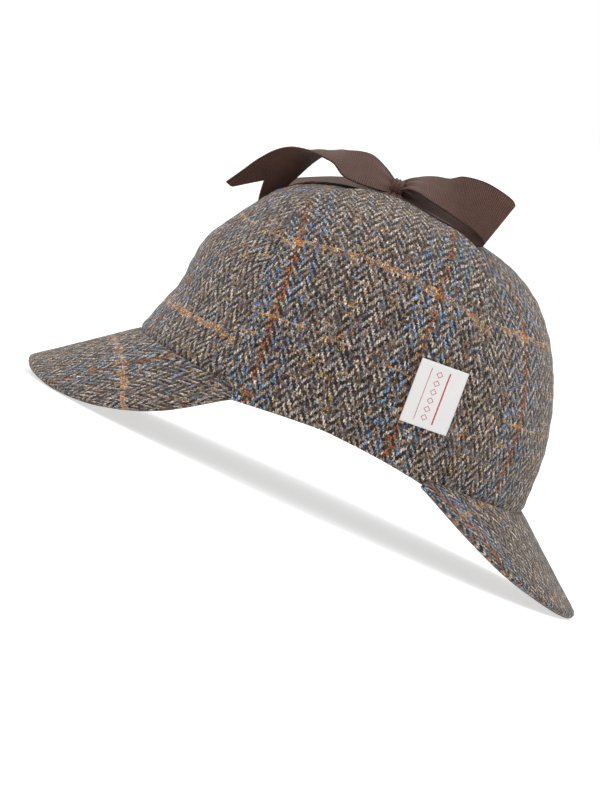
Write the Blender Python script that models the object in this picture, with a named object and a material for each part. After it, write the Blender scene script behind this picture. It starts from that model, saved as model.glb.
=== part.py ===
"""A deerstalker hat of tweed with its ear flaps tied up over the crown by a ribbon.

The hat faces -Y, the wearer's left is +X, and it stands on the lower edges of its two peaks. It is drawn
with its rim level at z = 0 and its crown's axis on x = y = 0, and one empty, the parent of every piece, then
sets it on the floor.
"""

import math
from collections import namedtuple

import bmesh
import bpy
import numpy as np
from mathutils import Matrix

# Crown: outer sizes at the rim, and its height above the rim
CROWN_LENGTH = 0.2130
CROWN_WIDTH = 0.1700
CROWN_HEIGHT = 0.1130
CROWN_CLOTH = 0.0022
GORE_COUNT = 6
APEX_OPENING = 0.0016
SEAM_GAP = 0.0003

# Peaks: how far the tip stands out from the rim, how far its upper edge hangs below the rim, the width across
# the ends, and the place along the hat where the ends meet the rim
FRONT_PEAK_REACH = 0.0422
FRONT_PEAK_DROP = 0.0366
FRONT_PEAK_WIDTH = 0.1600
FRONT_PEAK_END = 0.0500
BACK_PEAK_REACH = 0.0455
BACK_PEAK_DROP = 0.0345
BACK_PEAK_WIDTH = 0.1580
BACK_PEAK_END = 0.0580
PEAK_THICKNESS = 0.0038

# Ear flaps. The hem hangs below the rim between the peaks' ends, and rises to the rim over the turn's length.
FLAP_THICKNESS = 0.0022
FLAP_CLEARANCE = 0.0005
FLAP_HEM = 0.0050
HEM_TURN = 0.0060

# Ribbon and bow. The knot's place is ahead of the crown's axis, and the flaps' ribbons enter it at a share of
# its height, gathered to twice a share of its length.
RIBBON_WIDTH = 0.0250
RIBBON_THICKNESS = 0.0010
KNOT_LENGTH = 0.0070
KNOT_WIDTH = 0.0120
KNOT_HEIGHT = 0.0100
KNOT_PLACE = 0.0205
KNOT_ENTRY = 0.18
KNOT_GATHER = 0.25
KNOT_ROUNDING = 0.20
REAR_LOOP_LENGTH = 0.0480
FRONT_TAIL_LENGTH = 0.0740
TAIL_NOTCH = 0.0110
FAR_TAIL_LENGTH = 0.0560

# Label, sewn on the left flap: its size, its centre behind the crown's axis and above the rim, and its slant
LABEL_WIDTH = 0.0250
LABEL_HEIGHT = 0.0335
LABEL_THICKNESS = 0.0010
LABEL_BACK = 0.0410
LABEL_RISE = 0.0370
LABEL_SLANT = 6.0

# Crown sections from the rim to the apex. Height is a share of the crown's height, front and back are shares
# of half its length, and side is a share of half its width.
CrownSection = namedtuple("CrownSection", "height front back side")
CROWN_SECTIONS = (
    CrownSection(height=0.000, front=1.000, back=1.000, side=1.000),
    CrownSection(height=0.124, front=0.961, back=0.989, side=1.012),
    CrownSection(height=0.248, front=0.921, back=0.978, side=1.014),
    CrownSection(height=0.372, front=0.915, back=0.949, side=1.000),
    CrownSection(height=0.496, front=0.894, back=0.904, side=0.959),
    CrownSection(height=0.619, front=0.827, back=0.840, side=0.888),
    CrownSection(height=0.726, front=0.760, back=0.770, side=0.806),
    CrownSection(height=0.814, front=0.693, back=0.689, side=0.706),
    CrownSection(height=0.885, front=0.596, back=0.599, side=0.594),
    CrownSection(height=0.938, front=0.468, back=0.488, side=0.465),
    CrownSection(height=0.973, front=0.315, back=0.357, side=0.318),
    CrownSection(height=0.994, front=0.155, back=0.178, side=0.159),
    CrownSection(height=1.000, front=0.000, back=0.000, side=0.000),
)

# A peak's upper edge, evenly spaced from its middle to its end. Drop is a share of the drop at the tip.
PeakSection = namedtuple("PeakSection", "front_drop back_drop")
PEAK_SECTIONS = (
    PeakSection(front_drop=1.000, back_drop=1.000),
    PeakSection(front_drop=1.070, back_drop=0.980),
    PeakSection(front_drop=1.110, back_drop=0.893),
    PeakSection(front_drop=1.025, back_drop=0.733),
    PeakSection(front_drop=0.724, back_drop=0.435),
    PeakSection(front_drop=0.120, back_drop=0.043),
)

# An ear flap from its hem to its tip. Up is a share of the way over the crown from the rim to the middle
# line, front and back are the places of the two edges as shares of half the crown's length.
FlapSection = namedtuple("FlapSection", "up front back")
FLAP_SECTIONS = (
    FlapSection(up=0.000, front=-0.505, back=0.560),
    FlapSection(up=0.060, front=-0.530, back=0.566),
    FlapSection(up=0.170, front=-0.542, back=0.556),
    FlapSection(up=0.300, front=-0.565, back=0.549),
    FlapSection(up=0.420, front=-0.566, back=0.522),
    FlapSection(up=0.540, front=-0.566, back=0.470),
    FlapSection(up=0.640, front=-0.560, back=0.420),
    FlapSection(up=0.730, front=-0.530, back=0.360),
    FlapSection(up=0.800, front=-0.475, back=0.285),
    FlapSection(up=0.855, front=-0.400, back=0.165),
    FlapSection(up=0.885, front=-0.345, back=0.030),
    FlapSection(up=0.900, front=-0.305, back=-0.085),
)

# Ribbon sections from the knot to the free end, or round a loop and back to the knot. Along is a share of
# the piece's length, side is where the near edge lies to the left and rise its height above the crown's top,
# both in ribbon widths, skew is how far the far edge lies further along, lean is the far edge's rise in
# degrees from flat, and spread is the share of the ribbon's width that is open.
RibbonSection = namedtuple("RibbonSection", "along side rise skew lean spread")
REAR_LOOP_SECTIONS = (
    RibbonSection(along=0.00, side=0.20, rise=0.27, skew=0.00, lean=20, spread=0.40),
    RibbonSection(along=0.12, side=0.44, rise=0.33, skew=0.00, lean=28, spread=0.62),
    RibbonSection(along=0.27, side=0.70, rise=0.31, skew=0.00, lean=36, spread=0.85),
    RibbonSection(along=0.44, side=0.86, rise=0.27, skew=0.02, lean=48, spread=1.00),
    RibbonSection(along=0.62, side=0.95, rise=0.23, skew=0.06, lean=63, spread=1.00),
    RibbonSection(along=0.80, side=1.00, rise=0.17, skew=0.14, lean=73, spread=1.00),
    RibbonSection(along=0.92, side=1.00, rise=0.10, skew=0.22, lean=77, spread=1.00),
    RibbonSection(along=0.99, side=0.93, rise=0.03, skew=0.25, lean=78, spread=1.00),
    RibbonSection(along=0.93, side=0.85, rise=0.00, skew=0.20, lean=70, spread=1.00),
    RibbonSection(along=0.78, side=0.87, rise=0.01, skew=0.10, lean=52, spread=1.00),
    RibbonSection(along=0.60, side=0.88, rise=0.04, skew=0.03, lean=34, spread=1.00),
    RibbonSection(along=0.42, side=0.80, rise=0.07, skew=0.00, lean=26, spread=0.95),
    RibbonSection(along=0.22, side=0.52, rise=0.11, skew=0.00, lean=20, spread=0.70),
    RibbonSection(along=0.00, side=0.16, rise=0.09, skew=0.00, lean=10, spread=0.40),
)
FRONT_TAIL_SECTIONS = (
    RibbonSection(along=0.000, side=0.20, rise=0.14, skew=0.00, lean=38, spread=0.48),
    RibbonSection(along=0.090, side=0.40, rise=0.09, skew=0.02, lean=42, spread=0.80),
    RibbonSection(along=0.210, side=0.44, rise=0.08, skew=0.00, lean=43, spread=1.00),
    RibbonSection(along=0.320, side=0.42, rise=0.16, skew=0.00, lean=29, spread=1.00),
    RibbonSection(along=0.400, side=0.40, rise=0.20, skew=0.02, lean=14, spread=1.00),
    RibbonSection(along=0.530, side=0.34, rise=0.16, skew=-0.16, lean=-3, spread=1.00),
    RibbonSection(along=0.665, side=0.20, rise=0.09, skew=-0.36, lean=-14, spread=1.00),
    RibbonSection(along=0.780, side=0.06, rise=-0.06, skew=-0.52, lean=-15, spread=1.00),
    RibbonSection(along=0.880, side=-0.04, rise=-0.33, skew=-0.66, lean=-18, spread=1.00),
    RibbonSection(along=0.950, side=-0.10, rise=-0.70, skew=-0.76, lean=-16, spread=1.00),
    RibbonSection(along=1.000, side=-0.14, rise=-1.14, skew=-0.72, lean=-22, spread=1.00),
)
FAR_TAIL_SECTIONS = (
    RibbonSection(along=0.00, side=-0.02, rise=0.05, skew=0.00, lean=-4, spread=0.25),
    RibbonSection(along=0.20, side=-0.10, rise=0.02, skew=0.00, lean=-8, spread=0.70),
    RibbonSection(along=0.44, side=-0.14, rise=-0.09, skew=0.00, lean=-14, spread=1.00),
    RibbonSection(along=0.60, side=-0.24, rise=-0.26, skew=0.00, lean=-15, spread=1.00),
    RibbonSection(along=0.76, side=-0.50, rise=-0.46, skew=0.00, lean=-18, spread=1.00),
    RibbonSection(along=0.88, side=-0.77, rise=-0.68, skew=0.00, lean=-24, spread=1.00),
    RibbonSection(along=1.00, side=-1.00, rise=-0.95, skew=0.00, lean=-30, spread=1.00),
)

HALF_LENGTH = CROWN_LENGTH / 2
HALF_WIDTH = CROWN_WIDTH / 2

# How finely each surface is divided
CROWN_ROWS = 20
GORE_COLUMNS = 7
PEAK_ROWS = 28
PEAK_COLUMNS = 5
FLAP_ROWS = 18
FLAP_COLUMNS = 14
RIBBON_COLUMNS = 4
RIBBON_ROWS_PER_SECTION = 3
FLAP_RIBBON_ROWS = 8
LABEL_SQUARES = 6
KNOT_SIDES = 20
CUT_SAMPLES = 400
SMALL_STEP = 1e-4
TILT_STEPS = 4
SHARP_ANGLE = 40.0

Finish = namedtuple("Finish", "colour roughness")
TWEED = Finish(colour=(0.23, 0.19, 0.16), roughness=0.95)
GROSGRAIN = Finish(colour=(0.10, 0.055, 0.045), roughness=0.60)
WOVEN_WHITE = Finish(colour=(0.80, 0.80, 0.80), roughness=0.80)


def smooth_column(values, place):
    """A cubic curve through evenly spaced values, read at places from 0 to 1."""
    values = np.asarray(values, float)
    place = np.clip(place, 0.0, 1.0) * (len(values) - 1)
    left = np.minimum(place.astype(int), len(values) - 2)
    part = place - left
    slopes = np.gradient(values)
    rise = values[left + 1] - values[left]
    start, end = slopes[left], slopes[left + 1]
    return (
        values[left]
        + start * part
        + (3 * rise - 2 * start - end) * part**2
        + (start + end - 2 * rise) * part**3
    )


def crown_column(name, way):
    """One column of the crown's sections, carried over the apex so that the curve runs smoothly there."""
    sign = 1 if name == "height" else -1
    values = [getattr(section, name) for section in CROWN_SECTIONS]
    values += [sign * value for value in values[-2:-4:-1]]
    return smooth_column(values, np.asarray(way) * (len(CROWN_SECTIONS) - 1) / (len(values) - 1))


def crown_point(angle, way):
    """The crown's outer face: angle from the front in radians, way from 0 at the rim to 1 at the apex."""
    angle, way = np.broadcast_arrays(np.asarray(angle, float), np.asarray(way, float))
    forward = np.cos(angle)
    along = np.where(forward > 0, crown_column("front", way), crown_column("back", way))
    return np.stack(
        [
            HALF_WIDTH * crown_column("side", way) * np.sin(angle),
            -HALF_LENGTH * along * forward,
            CROWN_HEIGHT * crown_column("height", way),
        ],
        axis=-1,
    )


def unit(vectors):
    return vectors / np.linalg.norm(vectors, axis=-1, keepdims=True)


def grid_normals(points):
    """Normals of a grid of points, on the side where rows x columns point."""
    return unit(np.cross(np.gradient(points, axis=0), np.gradient(points, axis=1)))


def crown_normal(angle, way):
    """The outward normal, from the slope of the outer face across small steps."""
    across = crown_point(angle + SMALL_STEP, way) - crown_point(angle - SMALL_STEP, way)
    upward = crown_point(angle, way + SMALL_STEP) - crown_point(angle, way - SMALL_STEP)
    return unit(np.cross(across, upward))


def over_crown(along, up):
    """Points on the crown's outer left side, for places along the hat and shares of the way up.

    The hat is cut across at each place, and the share is measured along that cut from the rim to the middle
    line. A share below zero goes straight down past the rim.
    """
    way = np.linspace(0.0, 1.0, CUT_SAMPLES)[:, None]
    along = np.asarray(along, float)
    reach = HALF_LENGTH * np.where(along < 0, crown_column("front", way), crown_column("back", way))
    inside = 1.0 - (along / np.maximum(reach, 1e-9)) ** 2
    side = HALF_WIDTH * crown_column("side", way) * np.sqrt(np.maximum(inside, 0.0))
    height = CROWN_HEIGHT * crown_column("height", way) + 0.0 * along
    crossed = np.argmax(inside < 0, axis=0)
    top = np.where(crossed > 0, crossed - 1, len(way) - 1)
    height = np.minimum(height, np.take_along_axis(height, top[None], axis=0))
    steps = np.hypot(np.diff(side, axis=0), np.diff(height, axis=0))
    length = np.concatenate([np.zeros((1, len(along))), np.cumsum(steps, axis=0)])
    points = np.empty(np.shape(up) + (3,))
    for column, place in enumerate(along):
        reached = up[:, column] * length[-1, column]
        points[:, column, 0] = np.interp(reached, length[:, column], side[:, column])
        points[:, column, 1] = place
        points[:, column, 2] = np.interp(reached, length[:, column], height[:, column])
        points[:, column, 2] += np.minimum(reached, 0.0)
    return points


def crown_top(side, along):
    """How high the crown's outer face is over points given in plan."""
    way = np.linspace(0.0, 1.0, CUT_SAMPLES).reshape((-1,) + (1,) * np.ndim(side))
    ahead = np.asarray(along) < 0
    reach = HALF_LENGTH * np.where(ahead, crown_column("front", way), crown_column("back", way))
    breadth = HALF_WIDTH * crown_column("side", way)
    inside = (side / np.maximum(breadth, 1e-9)) ** 2 + (along / np.maximum(reach, 1e-9)) ** 2 < 1
    top = inside.sum(axis=0) / (len(way) - 1)
    return CROWN_HEIGHT * crown_column("height", top)


def new_object(name, mesh_data, finish, parent):
    mesh = bpy.data.meshes.new(name)
    mesh_data.to_mesh(mesh)
    mesh_data.free()
    material = bpy.data.materials.get(name + "_finish") or bpy.data.materials.new(name + "_finish")
    material.use_nodes = True
    shader = material.node_tree.nodes["Principled BSDF"]
    shader.inputs["Base Color"].default_value = (*finish.colour, 1.0)
    shader.inputs["Roughness"].default_value = finish.roughness
    shader.inputs["Metallic"].default_value = 0.0
    mesh.materials.append(material)
    mesh.shade_smooth()
    mesh.set_sharp_from_angle(angle=math.radians(SHARP_ANGLE))
    piece = bpy.data.objects.new(name, mesh)
    bpy.context.scene.collection.objects.link(piece)
    piece.parent = parent
    return piece


def shell(name, outer, inner, finish, parent):
    """A closed sheet between two grids of points, with its four edges walled."""
    rows, columns = outer.shape[:2]
    sheet = bmesh.new()
    faces = [[sheet.verts.new(point) for point in grid.reshape(-1, 3)] for grid in (outer, inner)]
    for row in range(rows - 1):
        for column in range(columns - 1):
            corner = row * columns + column
            quad = (corner, corner + 1, corner + columns + 1, corner + columns)
            sheet.faces.new([faces[0][index] for index in quad])
            sheet.faces.new([faces[1][index] for index in reversed(quad)])
    top = (rows - 1) * columns
    rim = [range(columns), range(columns - 1, top + columns, columns)]
    rim += [range(top + columns - 1, top - 1, -1), range(top, -1, -columns)]
    for edge in rim:
        edge = list(edge)
        for start, end in zip(edge, edge[1:]):
            sheet.faces.new((faces[0][end], faces[0][start], faces[1][start], faces[1][end]))
    bmesh.ops.recalc_face_normals(sheet, faces=sheet.faces)
    return new_object(name, sheet, finish, parent)


def make_gore(name, index, parent):
    """One gore of the crown, from the rim to the apex, with half a seam's gap left at each side."""
    turn = 2 * math.pi / GORE_COUNT
    apex = 1.0 - APEX_OPENING / HALF_WIDTH / (CROWN_SECTIONS[-2].side * (len(CROWN_SECTIONS) - 1))
    way = np.linspace(0.0, apex, CROWN_ROWS + 1)[:, None]
    seams = np.array([index * turn, (index + 1) * turn])
    sideways = crown_point(seams + SMALL_STEP, way) - crown_point(seams - SMALL_STEP, way)
    stride = np.linalg.norm(sideways, axis=-1) / (2 * SMALL_STEP)
    edges = seams + np.array([1, -1]) * SEAM_GAP / 2 / stride
    angle = edges[:, :1] + (edges[:, 1:] - edges[:, :1]) * np.linspace(0.0, 1.0, GORE_COLUMNS + 1)
    outer = crown_point(angle, way)
    inner = outer - CROWN_CLOTH * crown_normal(angle, way)
    inner[0, :, 2] = outer[0, :, 2]
    return shell(name, outer, inner, TWEED, parent)


def peak_surface(reach, drop, width, end, facing, drops):
    """The upper face of a peak: rows from one end round the tip to the other, columns from rim to edge.

    The outer edge is half an ellipse seen from above. The face lies flat under the crown's edge, and then
    falls in a straight line to the outer edge.
    """
    turn = np.linspace(-math.pi / 2, math.pi / 2, PEAK_ROWS + 1)
    rim_angle = turn / (math.pi / 2) * math.acos(end / HALF_LENGTH)
    inner_half = np.array([HALF_WIDTH - CROWN_CLOTH, HALF_LENGTH - CROWN_CLOTH])
    wall = np.array([HALF_WIDTH, HALF_LENGTH])
    around = np.stack([np.sin(rim_angle), np.cos(rim_angle)], axis=-1)
    edge = np.stack([width / 2 * np.sin(turn), end + (HALF_LENGTH + reach - end) * np.cos(turn)], axis=-1)
    fall = drop * smooth_column([*drops[::-1], *drops[1:]], (turn / math.pi) + 0.5)
    out = np.linspace(0.0, 1.0, PEAK_COLUMNS + 1)[1:]
    plan = [around * inner_half, around * wall]
    plan += [around * wall + (edge - around * wall) * share for share in out]
    down = [0 * fall, 0 * fall] + [fall * share for share in out]
    plan, down = np.stack(plan, axis=1), np.stack(down, axis=1)
    return np.stack([plan[..., 0] * -facing, plan[..., 1] * facing, -SEAM_GAP - down], axis=-1)


def peak_faces(surface):
    """A peak's upper and lower faces. The lower one is set off square to the upper, and level at the rim."""
    normals = grid_normals(surface)
    normals *= np.sign(normals[..., 2:].mean())
    normals[:, 0] = (0.0, 0.0, 1.0)
    return surface, surface - PEAK_THICKNESS * normals


def flap_surface():
    """The crown's outer face under the left flap, and the outward normals there."""
    up_row = np.linspace(0.0, 1.0, FLAP_ROWS + 1)
    up = smooth_column([section.up for section in FLAP_SECTIONS], up_row)
    front = HALF_LENGTH * smooth_column([section.front for section in FLAP_SECTIONS], up_row)
    back = HALF_LENGTH * smooth_column([section.back for section in FLAP_SECTIONS], up_row)
    across = np.linspace(0.0, 1.0, FLAP_COLUMNS + 1)
    rows = [
        over_crown(start + (end - start) * across, np.full((1, FLAP_COLUMNS + 1), share))
        for start, end, share in zip(front, back, up)
    ]
    points = np.concatenate(rows)
    normals = grid_normals(points)
    normals *= np.sign(normals[..., 0].mean())
    return points, normals


def hem_drop(along):
    """How far the flap's hem hangs below the rim: nothing over the peaks' ends, all of it between them."""
    inside = np.minimum(along + FRONT_PEAK_END, BACK_PEAK_END - along) - CROWN_CLOTH
    share = np.clip(inside / HEM_TURN, 0.0, 1.0)
    return FLAP_HEM * share * share * (3 - 2 * share)


def flap_shell(clearance, thickness):
    """A face set off from the crown by the clearance, another by the thickness more, and the hem below."""
    points, normals = flap_surface()
    drop = np.zeros_like(points[0])
    drop[:, 2] = 2 * SEAM_GAP - hem_drop(points[0, :, 1])
    points[0] += drop
    normals[0] = unit(normals[0] * (1, 1, 0))
    return points + normals * (clearance + thickness), points + normals * clearance


def mirrored(points):
    return points * (-1, 1, 1)


def ribbon_edges(sections, length, facing):
    """The near and far edges of a ribbon that leaves the knot forward or backward."""
    place = np.linspace(0.0, 1.0, RIBBON_ROWS_PER_SECTION * (len(sections) - 1) + 1)
    column = {
        name: smooth_column([getattr(section, name) for section in sections], place)
        for name in RibbonSection._fields
    }
    lean = np.radians(column["lean"])
    start = -KNOT_PLACE + facing * (KNOT_LENGTH / 2 + SEAM_GAP + RIBBON_THICKNESS / 2)
    near = np.stack(
        [
            RIBBON_WIDTH * column["side"],
            start + facing * length * column["along"],
            CROWN_HEIGHT + RIBBON_WIDTH * column["rise"],
        ],
        axis=-1,
    )
    skew = column["skew"]
    flat = np.sqrt(1 - skew**2)
    turned = np.stack([-np.cos(lean) * flat, facing * skew, np.sin(lean) * flat], axis=-1)
    return near, near + RIBBON_WIDTH * column["spread"][:, None] * turned


def ribbon_middle(near, far):
    across = np.linspace(0.0, 1.0, RIBBON_COLUMNS + 1)[None, :, None]
    return near[:, None] + (far - near)[:, None] * across


def clear_of_flaps(middle):
    """A ribbon's middle sheet, lifted wherever it would sink into a flap that lies over the crown."""
    stack = FLAP_CLEARANCE + FLAP_THICKNESS + 2 * SEAM_GAP + RIBBON_THICKNESS / 2
    lifted = middle.copy()
    lifted[..., 2] = np.maximum(middle[..., 2], crown_top(middle[..., 0], middle[..., 1]) + stack)
    return lifted


def ribbon_faces(middle):
    """A ribbon's two faces, half its thickness to each side of its middle sheet."""
    offset = grid_normals(middle) * RIBBON_THICKNESS / 2
    return middle + offset, middle - offset


def make_front_tail(parent):
    """The front tail, whose cut end has a notch as deep as TAIL_NOTCH."""
    near, far = ribbon_edges(FRONT_TAIL_SECTIONS, FRONT_TAIL_LENGTH, -1)
    middle = ribbon_middle(near, far)
    notch = TAIL_NOTCH * np.interp(np.linspace(0, 1, RIBBON_COLUMNS + 1), [0, 0.5, 1], [0, 1, 0])
    steps = np.linalg.norm(np.diff(middle.mean(axis=1), axis=0), axis=1)
    length = np.concatenate([np.zeros(1), np.cumsum(steps)])
    for column, cut in enumerate(notch):
        kept = length * (1 - cut / length[-1])
        strip = middle[:, column]
        middle[:, column] = np.stack([np.interp(kept, length, strip[:, axis]) for axis in range(3)], axis=-1)
    return shell("front_tail", *ribbon_faces(middle), GROSGRAIN, parent)


def make_flap_ribbon(name, side, parent):
    """The short ribbon from a flap's tip, as wide as the tip, gathered into the knot's side."""
    outer, inner = flap_shell(FLAP_CLEARANCE, RIBBON_THICKNESS)
    tip = (outer[-1] + inner[-1]) / 2
    toward = unit((tip - (outer[-2] + inner[-2]) / 2).mean(axis=0) * (1, 0, 0))
    start = tip[[0, -1]] + toward * SEAM_GAP
    level = min(KNOT_ENTRY + RIBBON_THICKNESS / KNOT_HEIGHT, 0.5)
    side_share = math.sqrt(1 - (1 - 2 * level) ** 2)
    knot_side = side_share * KNOT_WIDTH / 2 + SEAM_GAP
    entry = CROWN_HEIGHT + SEAM_GAP + KNOT_ENTRY * KNOT_HEIGHT
    half = KNOT_GATHER * KNOT_LENGTH
    end = np.array([[knot_side, -KNOT_PLACE - half, entry], [knot_side, -KNOT_PLACE + half, entry]])
    way = np.linspace(0.0, 1.0, FLAP_RIBBON_ROWS + 1)[:, None, None]
    edges = start + (end - start) * way
    middle = ribbon_middle(edges[:, 0], edges[:, 1])
    ground = crown_top(middle[..., 0], middle[..., 1]) + FLAP_CLEARANCE + RIBBON_THICKNESS / 2
    lift = (middle[..., 2] - ground)[-1] * way[..., 0] ** 2
    middle[..., 2] = ground + lift
    offset = np.array([0.0, 0.0, RIBBON_THICKNESS / 2])
    place = mirrored if side < 0 else np.array
    return shell(name, place(middle + offset), place(middle - offset), GROSGRAIN, parent)


def make_knot(parent):
    """The band round the gathered ribbons: a rounded barrel that lies fore and aft on the crown's top."""
    barrel = bmesh.new()
    bmesh.ops.create_cone(
        barrel, cap_ends=True, segments=KNOT_SIDES, radius1=0.5, radius2=0.5, depth=KNOT_LENGTH
    )
    bmesh.ops.rotate(barrel, verts=barrel.verts, matrix=Matrix.Rotation(math.pi / 2, 3, "X"))
    bmesh.ops.scale(barrel, verts=barrel.verts, vec=(KNOT_WIDTH, 1.0, KNOT_HEIGHT))
    knot = new_object("ribbon_knot", barrel, GROSGRAIN, parent)
    knot.location = (0.0, -KNOT_PLACE, CROWN_HEIGHT + SEAM_GAP + KNOT_HEIGHT / 2)
    bevel = knot.modifiers.new("rounded_ends", "BEVEL")
    bevel.width = KNOT_ROUNDING * min(KNOT_LENGTH, KNOT_HEIGHT)
    bevel.segments = 2
    return knot


def make_label(parent):
    """The woven label, which follows the left flap's outer face at a seam's gap from it."""
    slant = math.radians(LABEL_SLANT)
    squares = np.linspace(-0.5, 0.5, LABEL_SQUARES + 1)
    across, upward = squares * LABEL_WIDTH, squares * LABEL_HEIGHT
    along = LABEL_BACK + across * math.cos(slant) - upward[:, None] * math.sin(slant)
    height = LABEL_RISE + across * math.sin(slant) + upward[:, None] * math.cos(slant)
    way = np.linspace(0.0, 1.0, CUT_SAMPLES)
    up = np.interp(height, CROWN_HEIGHT * crown_column("height", way), way)
    angle = math.pi - np.arccos(np.clip(along / HALF_LENGTH / crown_column("back", up), -1, 1))
    points, normals = crown_point(angle, up), crown_normal(angle, up)
    inner = points + normals * (FLAP_CLEARANCE + FLAP_THICKNESS + SEAM_GAP)
    return shell("woven_label", inner + normals * LABEL_THICKNESS, inner, WOVEN_WHITE, parent)


def stand_on_peaks(hat, peaks):
    """Tip and lift the hat until both peaks' lowest edges touch the floor, and centre it along its length."""
    clouds = [np.array([vertex.co for vertex in peak.data.vertices]) for peak in peaks]
    tilt = 0.0
    for _ in range(TILT_STEPS):
        turned = [cloud[:, 1] * math.sin(tilt) + cloud[:, 2] * math.cos(tilt) for cloud in clouds]
        front, back = [cloud[level.argmin()] for cloud, level in zip(clouds, turned)]
        tilt = -math.atan2(back[2] - front[2], back[1] - front[1])
    along = np.concatenate([cloud[:, 1] * math.cos(tilt) - cloud[:, 2] * math.sin(tilt) for cloud in clouds])
    level = np.concatenate([cloud[:, 1] * math.sin(tilt) + cloud[:, 2] * math.cos(tilt) for cloud in clouds])
    hat.rotation_euler = (tilt, 0.0, 0.0)
    hat.location = (0.0, -(along.min() + along.max()) / 2, -level.min())


def build():
    for old in list(bpy.data.objects):
        bpy.data.objects.remove(old)
    hat = bpy.data.objects.new("hat", None)
    bpy.context.scene.collection.objects.link(hat)

    places = ("front_left", "side_left", "back_left", "back_right", "side_right", "front_right")
    for index, place in enumerate(places):
        make_gore("crown_" + place, index, hat)

    front_drops = [section.front_drop for section in PEAK_SECTIONS]
    back_drops = [section.back_drop for section in PEAK_SECTIONS]
    front = peak_surface(FRONT_PEAK_REACH, FRONT_PEAK_DROP, FRONT_PEAK_WIDTH, FRONT_PEAK_END, -1, front_drops)
    back = peak_surface(BACK_PEAK_REACH, BACK_PEAK_DROP, BACK_PEAK_WIDTH, BACK_PEAK_END, 1, back_drops)
    peaks = [
        shell("front_peak", *peak_faces(front), TWEED, hat),
        shell("back_peak", *peak_faces(back), TWEED, hat),
    ]

    outer, inner = flap_shell(FLAP_CLEARANCE, FLAP_THICKNESS)
    shell("left_ear_flap", outer, inner, TWEED, hat)
    shell("right_ear_flap", mirrored(outer), mirrored(inner), TWEED, hat)
    make_flap_ribbon("left_ribbon", 1, hat)
    make_flap_ribbon("right_ribbon", -1, hat)

    make_knot(hat)
    loop = ribbon_middle(*ribbon_edges(REAR_LOOP_SECTIONS, REAR_LOOP_LENGTH, 1))
    shell("rear_loop", *ribbon_faces(clear_of_flaps(loop)), GROSGRAIN, hat)
    make_front_tail(hat)
    far = ribbon_middle(*ribbon_edges(FAR_TAIL_SECTIONS, FAR_TAIL_LENGTH, -1))
    shell("far_tail", *ribbon_faces(clear_of_flaps(far)), GROSGRAIN, hat)
    make_label(hat)

    stand_on_peaks(hat, peaks)


build()
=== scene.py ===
"""The looks of a tweed deerstalker with its ear flaps tied up by a ribbon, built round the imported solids.

Lengths are in metres. Shapes are worked out in the hat's own frame, with the rim level at z = 0, the front at
-Y and the crown's axis on x = y = 0. settle() then stands them where the solids stand.
"""

import math

import bpy
import numpy as np
from mathutils import Matrix, Vector


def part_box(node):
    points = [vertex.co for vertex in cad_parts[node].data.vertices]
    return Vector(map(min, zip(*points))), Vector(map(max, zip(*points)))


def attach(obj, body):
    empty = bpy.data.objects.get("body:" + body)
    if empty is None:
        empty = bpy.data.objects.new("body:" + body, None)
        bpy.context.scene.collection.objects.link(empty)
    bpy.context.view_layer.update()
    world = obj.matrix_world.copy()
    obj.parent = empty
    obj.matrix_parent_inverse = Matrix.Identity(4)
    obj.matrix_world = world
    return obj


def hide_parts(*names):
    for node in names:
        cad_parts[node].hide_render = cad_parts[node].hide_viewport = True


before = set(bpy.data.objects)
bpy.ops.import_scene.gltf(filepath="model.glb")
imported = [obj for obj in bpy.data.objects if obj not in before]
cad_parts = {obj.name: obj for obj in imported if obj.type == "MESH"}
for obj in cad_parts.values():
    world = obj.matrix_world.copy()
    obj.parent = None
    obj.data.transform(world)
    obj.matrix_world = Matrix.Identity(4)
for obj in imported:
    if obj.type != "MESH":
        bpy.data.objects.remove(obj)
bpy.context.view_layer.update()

# Crown: outer sizes at the rim, its height, its cloth, and the space that the solids leave at each seam
CROWN_LENGTH, CROWN_WIDTH, CROWN_HEIGHT = 0.2130, 0.1700, 0.1130
CROWN_CLOTH = 0.0022
GORES = 6
SEAM_GAP = 0.0003
HALF_LENGTH, HALF_WIDTH = CROWN_LENGTH / 2, CROWN_WIDTH / 2

# Peaks: reach, drop, width and end, the front one and the back one
FRONT_PEAK = dict(reach=0.0440, drop=0.0366, width=0.1600, end=0.0500, facing=-1)
BACK_PEAK = dict(reach=0.0463, drop=0.0345, width=0.1580, end=0.0542, facing=1)
PEAK_THICKNESS = 0.0046
# How far a peak's weft leans back towards its ends
PEAK_BIAS = 0.29

# Flaps, and how far a flap's warp leans to the front as it goes up
FLAP_THICKNESS, FLAP_CLEARANCE = 0.0022, 0.0005
FLAP_SHEAR = 0.125
# How far a flap's hem hangs below the rim: at its middle, at its front and back corners, and past the peaks'
# ends, with the length over which it draws up to the last
HEM_MIDDLE, HEM_FRONT, HEM_BACK, HEM_TUCK = 0.0011, 0.0080, 0.0050, 0.0022
HEM_TURN = 0.0014

# Ribbon, and the notch in the front tail's end, with the share of the width that it leaves uncut
RIBBON_WIDTH, RIBBON_THICKNESS = 0.0250, 0.0008
TAIL_NOTCH, NOTCH_BLUNT = 0.0128, 0.30
# Knot: its sizes, its place ahead of the crown's axis, and the share of its height at which the ribbons enter
KNOT_LENGTH, KNOT_WIDTH, KNOT_HEIGHT = 0.0070, 0.0120, 0.0100
KNOT_PLACE, KNOT_ENTRY = 0.0205, 0.18

# Label: its sizes, its centre behind the crown's axis and above the rim, and its slant in degrees
LABEL_WIDTH, LABEL_HEIGHT, LABEL_THICKNESS = 0.0234, 0.0310, 0.0008
LABEL_BACK, LABEL_RISE, LABEL_SLANT = 0.0385, 0.0370, 5.0
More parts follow.
